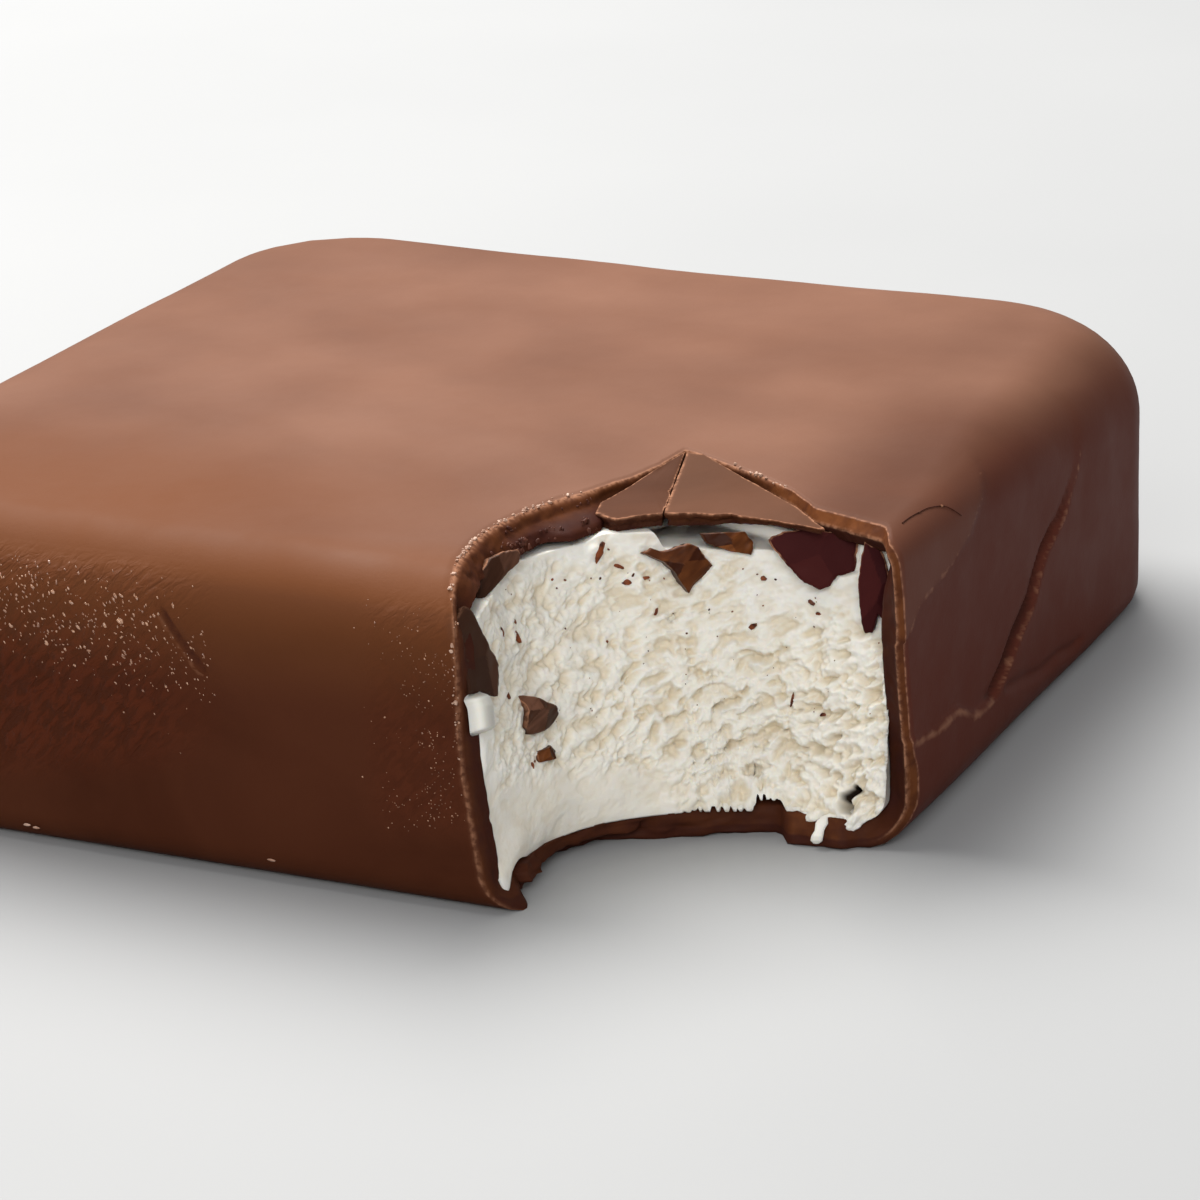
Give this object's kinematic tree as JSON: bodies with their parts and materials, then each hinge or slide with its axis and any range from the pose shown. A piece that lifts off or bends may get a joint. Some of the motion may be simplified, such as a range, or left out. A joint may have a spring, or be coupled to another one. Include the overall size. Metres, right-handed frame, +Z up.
{
  "type": "ice cream bar",
  "caption": "Square chocolate-coated ice cream bar with a bitten corner, cracked roof flaps and loose coating shards.",
  "frame": {"origin": "middle of the whole bar's base, on the surface it lies on", "axes": "+Z up through the bar's thickness, -Y out of the front face, +X out of the right face; the bite is at the +X, -Y corner"},
  "size_m": [0.076, 0.076, 0.0216],
  "materials": {
    "milk_chocolate": "satin milk chocolate coating, slightly bloomed",
    "dark_chocolate": "broken chocolate, dull, darker than the coating's outside",
    "vanilla_ice_cream": "crumbly, aerated, slightly translucent ice cream"
  },
  "bodies": {
    "root": {"coating": "milk_chocolate", "ice_cream": "vanilla_ice_cream", "flap_left": "milk_chocolate", "flap_right": "milk_chocolate", "shard_wedge": "dark_chocolate", "shard_side": "dark_chocolate", "shard_tip": "dark_chocolate", "shard_back": "dark_chocolate", "shard_corner": "dark_chocolate", "shard_wall": "dark_chocolate", "chip_large": "dark_chocolate", "chip_small": "dark_chocolate"}
  },
  "joints": []
}
